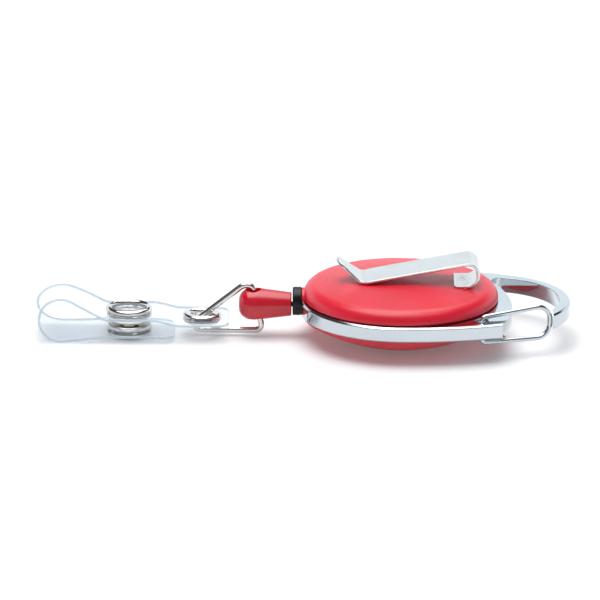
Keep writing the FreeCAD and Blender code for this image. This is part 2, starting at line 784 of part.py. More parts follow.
def cord_knot():
    """Round knot with a flat where the strand runs into it."""
    s = sizes
    ball = sphere("cord_knot_ball", s.knot_radius, -s.knot_at, 0, s.cord_axis)
    flat = box("cord_knot_flat", s.knot_radius, s.knot_radius * 2, s.knot_radius * 2,
               -s.knot_at + s.knot_radius * 0.9, -s.knot_radius, s.cord_axis - s.knot_radius)
    return cut("cord_knot", ball, [flat])


def cord_end():
    """Tapered bulb: bore and knot room along X, a leaning cross hole for the wire link."""
    s = sizes
    face = s.bulb_start
    neck = s.bulb_neck_radius
    tip = s.bulb_end
    body = revolved("bulb", [
        (-face, s.bulb_bore),
        (-face, neck - 0.25, s.cord_diameter / 4),
        (-face - 0.25, neck),
        (-s.bulb_widest + 1.0, s.bulb_radius - 0.05, s.cord_diameter * 6),
        (-tip + s.bulb_tip_round, s.bulb_radius - 0.05, s.bulb_tip_round),
        (-tip, s.bulb_radius - 0.05 - s.bulb_tip_round),
        (-tip, 0),
        (-s.knot_at - s.knot_room, 0),
        (-s.knot_at - s.knot_room, s.knot_room),
        (-s.knot_at + s.knot_room, s.knot_room),
        (-s.knot_at + s.knot_room, s.bulb_bore),
    ], "H_Axis")
    place(body, z=s.cord_axis)
    lean = numbers.link_lean
    reach = numbers.bulb_radius * 2
    hole = s.link_wire / 2 + s.link_hole_play
    shift_x = reach * sin(radians(lean))
    drop = reach * cos(radians(lean))
    drill = cylinder("link_hole", hole, reach * 2, -s.link_hole_at + shift_x, 0,
                     s.cord_axis - drop, (0, 1, 0), -lean)
    floor = numbers.link_recess_floor
    recesses = [
        cylinder("link_recess_top", s.link_recess_radius, reach,
                 -s.link_hole_at - floor * sin(radians(lean)), 0,
                 s.cord_axis + floor * cos(radians(lean)), (0, 1, 0), -lean),
        cylinder("link_recess_low", s.link_recess_radius, reach,
                 -s.link_hole_at + floor * sin(radians(lean)), 0,
                 s.cord_axis - floor * cos(radians(lean)), (0, 1, 0), 180.0 - lean),
    ]
    return cut("cord_end", body, [drill] + recesses)


def wire_link():
    """Closed triangle of wire: up through the bulb, down through the eyelet and back."""
    n = numbers
    slope = tan(radians(n.link_lean))
    top_x = -n.link_hole_at - (n.link_top - n.cord_axis) * slope
    low_x = -n.link_hole_at + (n.cord_axis - n.link_low) * slope
    corners = [
        (low_x, n.link_low, n.link_bend),
        (top_x, n.link_top, n.link_bend),
        (-n.link_shoulder, n.link_top, n.link_shoulder_bend),
        (-n.link_vertex, n.link_low, n.link_bend),
    ]
    return shaped("wire_link", bent_wire(corners, n.link_wire, in_xz(), closed=True))


# ---------------------------------------------------------------- strap, eyelet and snap

def tangent_angle(point, centre, radius, above):
    """Angle on a circle where the line from an outside point touches it."""
    across = (point[0] - centre[0], point[1] - centre[1])
    spread = acos(radius / hypot(*across))
    return atan2(across[1], across[0]) + (spread if above else -spread)


def strap():
    """One clear strip folded into a loop, cut in two at the loop's far left."""
    n = numbers
    centre = (-n.loop_at, n.loop_height)
    left = (centre[0] - n.loop_radius, centre[1], 0.0)
    rise = (-n.snap_at - n.snap_radius - 0.05, n.strap_upper_height, 3.0)
    leave_upper = tangent_angle(rise, centre, n.loop_radius, above=True)
    upper = [
        (-n.strap_right_end, n.strap_eyelet_height, 0.0),
        (-n.eyelet_at - n.eyelet_flange - 0.8, n.strap_eyelet_height, 5.0),
        (-n.snap_at + n.snap_radius + 0.9, n.strap_upper_height, 5.0),
        rise,
    ] + arc_corners(centre, n.loop_radius, leave_upper, pi, 2) + [left]
    land = (-n.snap_at - n.snap_radius - 0.6, n.strap_lower_height, 8.0)
    leave_lower = tangent_angle(land, centre, n.loop_radius, above=False) % (2 * pi)
    lower = [left] + arc_corners(centre, n.loop_radius, pi, leave_lower, 2) + [
        land,
        (-n.snap_at + n.snap_radius + 0.6, n.strap_lower_height, 8.0),
        (-n.strap_free_end, n.strap_free_height, 0.0),
    ]
    upper_strip = bent_strip(upper, n.strap_thick, n.strap_width)
    lower_strip = bent_strip(lower, n.strap_thick, n.strap_width)
    upper_strip = rounded_ends(upper_strip, -n.strap_right_end, n.strap_end_round)
    lower_strip = rounded_ends(lower_strip, -n.strap_free_end, n.strap_end_round)
    eyelet_hole = Part.makeCylinder(n.eyelet_hole + n.eyelet_wall, n.strap_width,
                                    FreeCAD.Vector(-n.eyelet_at, 0, 0))
    upper_strip = upper_strip.cut(eyelet_hole)
    for prong in prongs(-n.strap_width / 2, n.strap_width):
        upper_strip = upper_strip.cut(prong)
        lower_strip = lower_strip.cut(prong)
    return [shaped("strap_upper", upper_strip), shaped("strap_lower", lower_strip)]


def prongs(bottom, height):
    """Five flat prongs on a circle round the snap's axis."""
    n = numbers
    count = 5
    pieces = []
    for index in range(count):
        prong = Part.makeBox(n.prong_thick, n.prong_width, height, FreeCAD.Vector(
            n.prong_circle - n.prong_thick / 2, -n.prong_width / 2, bottom))
        prong.rotate(FreeCAD.Vector(), FreeCAD.Vector(0, 0, 1), 360.0 * index / count)
        prong.translate(FreeCAD.Vector(-n.snap_at, 0, 0))
        pieces.append(prong)
    return pieces


def eyelet():
    s = sizes
    half = s.strap_thick / 2
    outer = s.eyelet_hole + s.eyelet_wall
    top = s.strap_eyelet_height + half
    low = s.strap_eyelet_height - half
    under = top + s.eyelet_rise
    crown = under + s.eyelet_flange_thick
    bottom = low - s.eyelet_flange_thick
    barrel = revolved("eyelet_barrel", [
        (s.eyelet_hole, bottom - 0.05),
        (outer, bottom - 0.05),
        (outer, top),
        (s.eyelet_flange, under, 0.6),
        (s.eyelet_flange - 0.5, crown),
        (s.eyelet_hole + 0.5, crown, 0.7),
        (s.eyelet_hole, under + 0.1),
    ])
    washer = revolved("eyelet_washer", [
        (outer, bottom + 0.1),
        (outer + 0.3, bottom),
        (s.washer_flange - 0.4, bottom, 0.5),
        (s.washer_flange, low),
        (outer, low),
    ])
    return [place(barrel, x=-s.eyelet_at), place(washer, x=-s.eyelet_at)]


def snap():
    """Cap ring, socket, stud and post ring: the prongs of the rings grip the other half."""
    s = sizes
    n = numbers
    half = s.strap_thick / 2
    cap_low = s.strap_upper_height + half
    cap_high = cap_low + s.snap_ring_height
    round_ring = s.snap_radius - 0.5
    cap_ring = revolved("cap_ring_round", [
        (s.snap_opening, cap_low),
        (s.snap_radius - 0.2, cap_low, 0.5),
        (s.snap_radius, cap_low + 0.55, 0.75),
        (round_ring - 0.1, cap_high, 0.75),
        (s.snap_opening, cap_low + 0.45),
    ])
    socket_top = s.strap_upper_height - half
    socket_low = socket_top - s.socket_height
    channel_in = s.prong_circle - 0.35
    channel_out = s.prong_circle + 0.3
    socket = revolved("snap_socket", [
        (s.socket_bore, socket_low + 0.2),
        (s.socket_bore + 0.2, socket_low),
        (s.snap_radius - 0.6, socket_low, 0.6),
        (s.snap_radius - 0.05, socket_low + 0.5),
        (s.snap_radius - 0.05, socket_top - 0.4, 0.5),
        (s.snap_radius - 0.3, socket_top),
        (channel_out, socket_top),
        (channel_out, socket_top - 0.5),
        (channel_in, socket_top - 0.5),
        (channel_in, socket_top),
        (s.socket_bore + 0.4, socket_top),
        (s.socket_bore, socket_top - 0.4),
    ])
    stud_low = s.strap_lower_height + half
    stud_top = stud_low + s.stud_base
    stud = revolved("snap_stud", [
        (0, stud_low),
        (channel_in, stud_low),
        (channel_in, stud_low + 0.5),
        (channel_out, stud_low + 0.5),
        (channel_out, stud_low),
        (s.snap_radius - 0.3, stud_low, 0.5),
        (s.snap_radius - 0.05, stud_low + 0.4),
        (s.snap_radius - 0.05, stud_low + 0.85, 0.5),
        (s.snap_radius - 0.5, stud_low + 1.15),
        (s.stud_radius + 0.4, stud_top - 0.2),
        (s.stud_radius - 0.1, stud_top),
        (s.stud_radius, stud_top + 0.5, 0.5),
        (s.stud_radius - 0.4, stud_low + s.stud_rise),
        (0, stud_low + s.stud_rise),
    ])
    post_top = s.strap_lower_height - half
    post_low = post_top - s.post_ring
    post_ring = revolved("post_ring_round", [
        (s.snap_opening, post_low + 0.2),
        (s.snap_opening + 0.2, post_low),
        (s.snap_radius - 0.6, post_low, 0.6),
        (s.snap_radius - 0.1, post_low + 0.5),
        (s.snap_radius - 0.1, post_top),
        (s.snap_opening, post_top),
    ])
    for ring in (cap_ring, socket, stud, post_ring):
        place(ring, x=-s.snap_at)
    DOC.recompute()
    bite = n.strap_thick + 0.4
    cap_prongs = prongs(cap_low.number - bite, bite + 0.3)
    post_prongs = prongs(post_top.number - 0.3, bite + 0.3)
    return [
        shaped("snap_cap_ring", cap_ring.Shape.multiFuse(cap_prongs).removeSplitter()),
        socket,
        stud,
        shaped("snap_post_ring", post_ring.Shape.multiFuse(post_prongs).removeSplitter()),
    ]


# ---------------------------------------------------------------- build and write

def build():
    pieces = [front_cover(), back_cover(), carabiner_frame(), exit_collar(), gate_wire()]
    pieces += belt_clip()
    pieces += [clip_rivet(), spool(), spring_cover(), cord_winding(), power_spring()]
    pieces += [cord_run(), cord_lead(), cord_knot(), cord_end(), wire_link()]
    pieces += strap()
    pieces += eyelet()
    pieces += snap()
    return pieces


def write(pieces):
    DOC.recompute()
    for thing in DOC.Objects:
        if "Invalid" in thing.State or "Error" in thing.State:
            raise RuntimeError("%s is %s" % (thing.Label, thing.State))
    os.makedirs("parts", exist_ok=True)
    for piece in pieces:
        shape = piece.Shape
        if shape.isNull() or not shape.isValid() or not shape.Solids:
            raise RuntimeError("%s has no valid solid" % piece.Label)
        shape.exportStep("parts/%s.step" % piece.Label)
        bounds = shape.BoundBox
        print("%-18s solids %d volume %8.2f  x %7.2f %7.2f  y %7.2f %7.2f  z %6.2f %6.2f" % (
            piece.Label, len(shape.Solids), shape.Volume, bounds.XMin, bounds.XMax,
            bounds.YMin, bounds.YMax, bounds.ZMin, bounds.ZMax))


write(build())
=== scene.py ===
"""Looks of the retractable badge reel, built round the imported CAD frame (metres, Z up)."""
import json
from math import acos, atan2, cos, hypot, pi, radians, sin, sqrt, tan

import bmesh
import bpy
from mathutils import Matrix, Vector


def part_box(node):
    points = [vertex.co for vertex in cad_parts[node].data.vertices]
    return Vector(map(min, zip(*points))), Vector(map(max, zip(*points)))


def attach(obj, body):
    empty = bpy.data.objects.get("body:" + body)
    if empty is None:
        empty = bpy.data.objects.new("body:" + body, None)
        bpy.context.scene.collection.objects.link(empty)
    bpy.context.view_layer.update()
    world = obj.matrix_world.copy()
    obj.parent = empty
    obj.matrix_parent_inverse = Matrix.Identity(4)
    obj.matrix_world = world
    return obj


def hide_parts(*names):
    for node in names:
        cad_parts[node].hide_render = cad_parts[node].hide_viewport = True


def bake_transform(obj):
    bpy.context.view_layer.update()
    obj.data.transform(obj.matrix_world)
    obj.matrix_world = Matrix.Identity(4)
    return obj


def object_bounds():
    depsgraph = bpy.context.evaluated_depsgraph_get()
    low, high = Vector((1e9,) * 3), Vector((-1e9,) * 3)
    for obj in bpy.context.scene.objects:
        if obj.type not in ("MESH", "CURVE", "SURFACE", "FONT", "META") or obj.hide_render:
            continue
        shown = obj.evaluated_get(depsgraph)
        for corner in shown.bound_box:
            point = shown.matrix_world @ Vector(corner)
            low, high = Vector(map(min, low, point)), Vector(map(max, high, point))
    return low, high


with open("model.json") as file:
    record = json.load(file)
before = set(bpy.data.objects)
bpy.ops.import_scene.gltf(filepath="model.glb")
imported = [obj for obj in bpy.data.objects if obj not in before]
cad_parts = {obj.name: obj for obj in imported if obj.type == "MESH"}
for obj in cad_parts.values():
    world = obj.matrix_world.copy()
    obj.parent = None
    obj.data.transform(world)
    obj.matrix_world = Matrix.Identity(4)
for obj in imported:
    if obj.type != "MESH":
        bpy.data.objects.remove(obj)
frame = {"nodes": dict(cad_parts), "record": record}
CAD_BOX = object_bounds()
NODES = frame["nodes"]
MM = 0.001

# ------------------------------------------------------------------ camera and light

VIEW_ELEVATION = radians(17.5)
VIEW_ROLL = radians(0.55)
LENS = 420.0
SENSOR = 36.0
FIELD_WIDTH = 120.5 * MM
AIM = Vector((-20.2 * MM, 0.0, 7.5 * MM))


def make_camera():
    data = bpy.data.cameras.new("camera")
    data.lens = LENS
    data.sensor_width = SENSOR
    data.clip_start = 0.01
    data.clip_end = 20.0
    camera = bpy.data.objects.new("camera", data)
    bpy.context.scene.collection.objects.link(camera)
    back = Vector((0.0, -cos(VIEW_ELEVATION), sin(VIEW_ELEVATION)))
    distance = FIELD_WIDTH * LENS / SENSOR
    look = (-back).to_track_quat("-Z", "Y").to_matrix()
    roll = Matrix.Rotation(VIEW_ROLL, 3, "Z")
    camera.matrix_world = Matrix.Translation(AIM + back * distance) @ (look @ roll).to_4x4()
    bpy.context.scene.camera = camera


SKY_STRENGTH = 2.0
# Colour by the direction's height: 0 is level, 1 is straight up.
SKY_STOPS = [(0.0, (0.50, 0.53, 0.56)), (0.36, (0.52, 0.56, 0.59)), (0.44, (0.03, 0.03, 0.035)),
             (0.80, (0.03, 0.03, 0.035)), (0.86, (1.0, 1.0, 1.0)), (1.0, (1.0, 1.0, 1.0))]
# The side of the room in front of the object is darker, fading out upwards and to the back.
FRONT_COLOUR = (0.12, 0.12, 0.13, 1.0)
FRONT_RISE = 0.75
FRONT_LOW = -0.25
FRONT_HIGH = 0.30
KEY_PLACE = (-0.08, -0.02, 0.50)
KEY_SIZE = 0.36
KEY_POWER = 1.25
BACK_PLACE = (0.05, 0.28, 0.42)
BACK_SIZE = 0.34
BACK_POWER = 0.6

FLOOR_SIZE = 8.0
FLOOR_DROP = 0.05 * MM
FLOOR_COLOUR = (0.74, 0.75, 0.76, 1.0)
FLOOR_GLOW = 0.12


def area_light(name, place, size, power):
    """A soft square light that faces the origin."""
    data = bpy.data.lights.new(name, "AREA")
    data.energy = power
    data.size = size
    light = bpy.data.objects.new(name, data)
    bpy.context.scene.collection.objects.link(light)
    light.location = place
    light.rotation_mode = "QUATERNION"
    light.rotation_quaternion = (-Vector(place)).to_track_quat("-Z", "Y")


def make_light():
    world = bpy.data.worlds.new("studio")
    bpy.context.scene.world = world
    world.use_nodes = True
    nodes = world.node_tree.nodes
    links = world.node_tree.links
    background = nodes["Background"]
    background.inputs["Strength"].default_value = SKY_STRENGTH
    direction = nodes.new("ShaderNodeTexCoord")
    split = nodes.new("ShaderNodeSeparateXYZ")
    ramp = nodes.new("ShaderNodeValToRGB")
    front = nodes.new("ShaderNodeMath")
    front.operation = "MULTIPLY_ADD"
    front.inputs[1].default_value = FRONT_RISE
    side = nodes.new("ShaderNodeMapRange")
    side.inputs["From Min"].default_value = FRONT_LOW
    side.inputs["From Max"].default_value = FRONT_HIGH
    shade = nodes.new("ShaderNodeMix")
    shade.data_type = "RGBA"
    shade.inputs["A"].default_value = FRONT_COLOUR
    links.new(direction.outputs["Generated"], split.inputs["Vector"])
    links.new(split.outputs["Z"], ramp.inputs["Fac"])
    links.new(split.outputs["Z"], front.inputs[0])
    links.new(split.outputs["Y"], front.inputs[2])
    links.new(front.outputs["Value"], side.inputs["Value"])
    links.new(side.outputs["Result"], shade.inputs["Factor"])
    links.new(ramp.outputs["Color"], shade.inputs["B"])
    links.new(shade.outputs["Result"], background.inputs["Color"])
    stops = ramp.color_ramp.elements
    while len(stops) < len(SKY_STOPS):
        stops.new(0.5)
    for stop, (position, colour) in zip(stops, SKY_STOPS):
        stop.position = position
        stop.color = (*colour, 1.0)
    area_light("key", KEY_PLACE, KEY_SIZE, KEY_POWER)
    area_light("back", BACK_PLACE, BACK_SIZE, BACK_POWER)


def make_floor():
    bpy.ops.mesh.primitive_plane_add(size=FLOOR_SIZE,
                                     location=(0, 0, CAD_BOX[0].z - FLOOR_DROP))
    floor = bpy.context.object
    floor.name = "floor"
    material, shader = new_material("floor")
    shader.inputs["Base Color"].default_value = FLOOR_COLOUR
    shader.inputs["Emission Color"].default_value = (1.0, 1.0, 1.0, 1.0)
    shader.inputs["Emission Strength"].default_value = FLOOR_GLOW
    shader.inputs["Roughness"].default_value = 0.9
    shader.inputs["Specular IOR Level"].default_value = 0.1
    floor.data.materials.append(material)


# ------------------------------------------------------------------ materials

# The part of a noise's 0 to 1 that is spread over a whole range of roughness or of colour.
ROUGH_SPAN = (0.3, 0.7)
TINT_SPAN = (0.35, 0.65)
BEVEL_SAMPLES = 8
# Relief as (depth, strength), and waves per metre of each material's noises.
PLASTIC_RELIEF = (0.004 * MM, 0.15)
METAL_RELIEF = (0.002 * MM, 0.12)
VINYL_RELIEF = (0.02 * MM, 0.25)
BRAID_RELIEF = (0.05 * MM, 0.6)
PLASTIC_TINT_WAVES = 90.0
PLASTIC_ROUGH_WAVES = 700.0
PLASTIC_RELIEF_WAVES = 2500.0
METAL_TINT_WAVES = 60.0
METAL_DETAIL = 6.0
VINYL_TINT_WAVES = 120.0
VINYL_ROUGH_WAVES = 400.0
VINYL_RELIEF_WAVES = 150.0
VINYL_DARK = 0.97
COAT_ROUGHNESS = 0.08
BRAID_SLANT = 0.6
BRAID_WAVES = 900.0


def new_material(name):
    material = bpy.data.materials.new(name)
    material.use_nodes = True
    return material, material.node_tree.nodes["Principled BSDF"]


def noise(material, scale, detail=3.0):
    """Noise in the object's own coordinates; scale is in waves per metre."""
    nodes = material.node_tree.nodes
    place = nodes.new("ShaderNodeTexCoord")
    texture = nodes.new("ShaderNodeTexNoise")
    texture.inputs["Scale"].default_value = scale
    texture.inputs["Detail"].default_value = detail
    material.node_tree.links.new(place.outputs["Object"], texture.inputs["Vector"])
    return texture.outputs["Fac"]


def mapped(material, value, low, high):
    """Spreads a noise over a range of numbers."""
    node = material.node_tree.nodes.new("ShaderNodeMapRange")
    node.inputs["From Min"].default_value = ROUGH_SPAN[0]
    node.inputs["From Max"].default_value = ROUGH_SPAN[1]
    node.inputs["To Min"].default_value = low
    node.inputs["To Max"].default_value = high
    material.node_tree.links.new(value, node.inputs["Value"])
    return node.outputs["Result"]


def tinted(material, value, dark, light):
    """Spreads a noise between two colours."""
    node = material.node_tree.nodes.new("ShaderNodeValToRGB")
    node.color_ramp.elements[0].position = TINT_SPAN[0]
    node.color_ramp.elements[0].color = (*dark, 1.0)
    node.color_ramp.elements[1].position = TINT_SPAN[1]
    node.color_ramp.elements[1].color = (*light, 1.0)
    material.node_tree.links.new(value, node.inputs["Fac"])
    return node.outputs["Color"]


def bump(material, shader, value, relief, edge=0.0):
    """Fine relief; edge is the radius by which sharp edges catch the light as if rounded."""
    node = material.node_tree.nodes.new("ShaderNodeBump")
    if edge:
        rounded = material.node_tree.nodes.new("ShaderNodeBevel")
        rounded.samples = BEVEL_SAMPLES
        rounded.inputs["Radius"].default_value = edge
        material.node_tree.links.new(rounded.outputs["Normal"], node.inputs["Normal"])
    node.inputs["Strength"].default_value = relief[1]
    node.inputs["Distance"].default_value = relief[0]
    material.node_tree.links.new(value, node.inputs["Height"])
    material.node_tree.links.new(node.outputs["Normal"], shader.inputs["Normal"])


def plastic(name, dark, light, rough, coat, gloss=0.5):
    material, shader = new_material(name)
    links = material.node_tree.links
    links.new(tinted(material, noise(material, PLASTIC_TINT_WAVES), dark, light),
              shader.inputs["Base Color"])
    links.new(mapped(material, noise(material, PLASTIC_ROUGH_WAVES), rough - 0.03, rough + 0.04),
              shader.inputs["Roughness"])
    shader.inputs["Coat Weight"].default_value = coat
    shader.inputs["Coat Roughness"].default_value = COAT_ROUGHNESS
    shader.inputs["Specular IOR Level"].default_value = gloss
    bump(material, shader, noise(material, PLASTIC_RELIEF_WAVES), PLASTIC_RELIEF)
    return material


def metal(name, dark, light, low, high, grain=500.0, edge=0.0):
    material, shader = new_material(name)
    links = material.node_tree.links
    shader.inputs["Metallic"].default_value = 1.0
    links.new(tinted(material, noise(material, METAL_TINT_WAVES), dark, light),
              shader.inputs["Base Color"])
    links.new(mapped(material, noise(material, grain, METAL_DETAIL), low, high),
              shader.inputs["Roughness"])
    bump(material, shader, noise(material, grain * 2), METAL_RELIEF, edge)
    return material


def vinyl(name, tint, alpha, rough):
    material, shader = new_material(name)
    links = material.node_tree.links
    dark = tuple(VINYL_DARK * channel for channel in tint)
    links.new(tinted(material, noise(material, VINYL_TINT_WAVES), dark, tint),
              shader.inputs["Base Color"])
    links.new(mapped(material, noise(material, VINYL_ROUGH_WAVES), rough - 0.03, rough + 0.05),
              shader.inputs["Roughness"])
    shader.inputs["Alpha"].default_value = alpha
    shader.inputs["Specular IOR Level"].default_value = 0.5
    bump(material, shader, noise(material, VINYL_RELIEF_WAVES), VINYL_RELIEF)
    return material


def braid(name):
    """Braided nylon: fine crossing strands from two slanted wave textures."""
    material, shader = new_material(name)
    nodes = material.node_tree.nodes
    links = material.node_tree.links
    place = nodes.new("ShaderNodeTexCoord")
    heights = []
    for slant in (BRAID_SLANT, -BRAID_SLANT):
        turn = nodes.new("ShaderNodeMapping")
        turn.inputs["Rotation"].default_value = (slant, slant, 0.0)
        wave = nodes.new("ShaderNodeTexWave")
        wave.inputs["Scale"].default_value = BRAID_WAVES
        links.new(place.outputs["Object"], turn.inputs["Vector"])
        links.new(turn.outputs["Vector"], wave.inputs["Vector"])
        heights.append(wave.outputs["Fac"])
    both = nodes.new("ShaderNodeMath")
    both.operation = "MAXIMUM"
    links.new(heights[0], both.inputs[0])
    links.new(heights[1], both.inputs[1])
    links.new(tinted(material, both.outputs["Value"], (0.008, 0.008, 0.009), (0.03, 0.03, 0.032)),
              shader.inputs["Base Color"])
    shader.inputs["Roughness"].default_value = 0.75
    shader.inputs["Sheen Weight"].default_value = 0.4
    bump(material, shader, both.outputs["Value"], BRAID_RELIEF)
    return material


MATERIALS = {
    "red_plastic": plastic("red_plastic", (0.66, 0.003, 0.022), (0.72, 0.006, 0.030), 0.36, 0.10),
    "red_gloss": plastic("red_gloss", (0.52, 0.002, 0.014), (0.58, 0.003, 0.020), 0.24, 0.3),
    "chrome": metal("chrome", (0.55, 0.60, 0.63), (0.60, 0.65, 0.68), 0.03, 0.08, edge=0.22 * MM),
    "nickel": metal("nickel", (0.66, 0.64, 0.60), (0.76, 0.74, 0.71), 0.05, 0.11),
    "nickel_satin": metal("nickel_satin", (0.70, 0.71, 0.70), (0.74, 0.76, 0.75), 0.18, 0.24,
                          grain=300.0, edge=0.12 * MM),
    "black_plastic": plastic("black_plastic", (0.004, 0.004, 0.005), (0.007, 0.007, 0.009),
                             0.30, 0.0, gloss=0.25),
    "spool_plastic": plastic("spool_plastic", (0.72, 0.72, 0.69), (0.80, 0.80, 0.77), 0.5, 0.0),
    "spring_steel": metal("spring_steel", (0.30, 0.31, 0.33), (0.40, 0.41, 0.43), 0.2, 0.35),
    "nylon_cord": braid("nylon_cord"),
    "clear_vinyl": vinyl("clear_vinyl", (0.66, 0.75, 0.84), 0.24, 0.14),
    "vinyl_edge": vinyl("vinyl_edge", (0.56, 0.70, 0.80), 0.72, 0.20),
}


# Nodes that look different from the rest of their slot.
SPECIAL_LOOKS = {"cord_end": "red_gloss", "clip_rivet": "nickel_satin",
                 "belt_clip_foot": "nickel_satin", "belt_clip_arm": "nickel_satin"}


def dress_nodes():
    slots = {part["node"]: part["material_slot"] for part in frame["record"]["subparts"]}
    for name, node in NODES.items():
        node.data.materials.clear()
        node.data.materials.append(MATERIALS[SPECIAL_LOOKS.get(name, slots[name])])


# ------------------------------------------------------------------ mesh helpers

PATH_STEP = 0.4 * MM
ROUND_STEP = radians(4)
CORNER_STEP = radians(5)
SECTION_STEPS = 3
ROD_SIDES = 64
LATHE_SIDES = 64


def link_mesh(name, mesh, material):
    piece = bpy.data.objects.new(name, mesh)
    bpy.context.scene.collection.objects.link(piece)
    for one in material if isinstance(material, list) else [material]:
        mesh.materials.append(MATERIALS[one])
    return piece


def finish_bmesh(name, made, material):
    bmesh.ops.recalc_face_normals(made, faces=made.faces)
    mesh = bpy.data.meshes.new(name)
    made.to_mesh(mesh)
    made.free()
    for face in mesh.polygons:
        face.use_smooth = True
    return link_mesh(name, mesh, material)


def heading(start, end):
    return atan2(end[1] - start[1], end[0] - start[0])


def arc_points(centre, radius, first, last, step):
    count = max(2, int(abs(last - first) / step) + 1)
    return [(centre[0] + radius * cos(first + (last - first) * i / count),
             centre[1] + radius * sin(first + (last - first) * i / count))
            for i in range(count + 1)]


def bent(corners):
    """Straight runs joined by tangent arcs; corners are (u, v, bend), bend being a radius."""
    points = [corners[0][:2]]
    for before, (u, v, bend), after in zip(corners, corners[1:], corners[2:]):
        first_way = heading(before, (u, v))
        second_way = heading((u, v), after)
        swing = (second_way - first_way + pi) % (2 * pi) - pi
        reach = bend * tan(abs(swing) / 2)
        side = 1.0 if swing > 0 else -1.0
        start = (u - reach * cos(first_way), v - reach * sin(first_way))
        centre = (start[0] - side * bend * sin(first_way),
                  start[1] + side * bend * cos(first_way))
        first = first_way - side * pi / 2
        points += arc_points(centre, bend, first, first + swing, CORNER_STEP)
    return points + [corners[-1][:2]]


def divided(points, step):
    """The same line with no stretch longer than step."""
    out = []
    for start, end in zip(points, points[1:]):
        length = hypot(end[0] - start[0], end[1] - start[1])
        if length < 1e-9:
            continue
        parts = max(1, int(length / step))
        for part in range(parts):
            share = part / parts
            out.append((start[0] + (end[0] - start[0]) * share,
                        start[1] + (end[1] - start[1]) * share))
    return out + [points[-1]]


def rounded_section(thick, width, bend):
    """A rounded rectangle as (across the thickness, along the width) pairs."""
    points = []
    for corner in range(4):
        sign_a = 1 if corner in (0, 3) else -1
        sign_b = 1 if corner in (0, 1) else -1
        centre = (sign_a * (thick / 2 - bend), sign_b * (width / 2 - bend))
        first = corner * pi / 2
        for step in range(SECTION_STEPS + 1):
            angle = first + pi / 2 * step / SECTION_STEPS
            points.append((centre[0] + bend * cos(angle), centre[1] + bend * sin(angle)))
    return points


def swept(name, path, section, material, width_at=None):
    """Carries a section along a path in the XZ plane; width_at scales its width on the way."""
    made = bmesh.new()
    lengths = [0.0]
    for near, far in zip(path, path[1:]):
        lengths.append(lengths[-1] + hypot(far[0] - near[0], far[1] - near[1]))
    rings = []
    for index, (u, v) in enumerate(path):
        angle = heading(path[max(index - 1, 0)], path[min(index + 1, len(path) - 1)])
        normal = (-sin(angle), cos(angle))
        scale = width_at(lengths[index], lengths[-1]) if width_at else 1.0
        rings.append([made.verts.new((u + normal[0] * a, b * scale, v + normal[1] * a))
                      for a, b in section])
    for near, far in zip(rings, rings[1:]):
        for side in range(len(section)):
            after = (side + 1) % len(section)
            made.faces.new((near[side], near[after], far[after], far[side]))
    made.faces.new(rings[0])
    made.faces.new(list(reversed(rings[-1])))
    return finish_bmesh(name, made, material)


def circle_section(radius, count):
    return [(radius * cos(2 * pi * i / count), radius * sin(2 * pi * i / count))
            for i in range(count)]


def apply_modifiers(piece):
    graph = bpy.context.evaluated_depsgraph_get()
    mesh = bpy.data.meshes.new_from_object(piece.evaluated_get(graph))
    piece.modifiers.clear()
    piece.data = mesh


def carve(piece, cutter):
    """Takes the cutter away from a piece and removes the cutter."""
    cut = piece.modifiers.new("cut", "BOOLEAN")
    cut.operation = "DIFFERENCE"
    cut.solver = "EXACT"
    cut.object = cutter
    apply_modifiers(piece)
    bpy.data.objects.remove(cutter)


def even_normals(piece):
    """Lets the broad faces set the shading, so narrow rounded edges don't bend it."""
    weights = piece.modifiers.new("normals", "WEIGHTED_NORMAL")
    weights.weight = 100
    apply_modifiers(piece)


def rod(name, radius, low, high, x):
    bpy.ops.mesh.primitive_cylinder_add(vertices=ROD_SIDES, radius=radius, depth=high - low,
                                        location=(x, 0.0, (low + high) / 2))
    piece = bpy.context.object
    piece.name = name
    return piece


def lathed(name, profile, at, material, body):
    """Turns a profile of (radius, height) from the axis outwards into an open skin."""
    made = bmesh.new()
    tip = made.verts.new((at, 0.0, profile[0][1]))
    rings = [[made.verts.new((at + radius * cos(2 * pi * i / LATHE_SIDES),
                              radius * sin(2 * pi * i / LATHE_SIDES), height))
              for i in range(LATHE_SIDES)] for radius, height in profile[1:]]
    for i in range(LATHE_SIDES):
        after = (i + 1) % LATHE_SIDES
        made.faces.new((tip, rings[0][i], rings[0][after]))
        for near, far in zip(rings, rings[1:]):
            made.faces.new((near[i], far[i], far[after], near[after]))
    piece = finish_bmesh(name, made, material)
    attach(piece, body)


def tangent_angle(point, centre, radius, above):
    """Where a line from the point touches the circle, as an angle about its centre."""
    across = (point[0] - centre[0], point[1] - centre[1])
    spread = acos(radius / hypot(*across))
    return atan2(across[1], across[0]) + (spread if above else -spread)


# ------------------------------------------------------------------ belt clip

CLIP_THICK = 0.55 * MM
CLIP_WIDTH = 9.0 * MM
CURL_RADIUS = 2.32 * MM
CLIP_TIP_WIDTH = 4.6 * MM
CLIP_TIP_LEAST = 0.25 * MM
CLIP_TAPER = 5.2 * MM
CLIP_ROUND = 0.12 * MM
# The arm runs down from the curl to the contact bend, then its tip turns up.
CONTACT_REACH = 21.1 * MM
CONTACT_LIFT = 0.13 * MM
CONTACT_BEND = 2.0 * MM
TIP_INSET = 0.02 * MM
TIP_RISE = 4.1 * MM
CURL_START = 0.4 * MM
RIVET_SHANK = 0.74 * MM


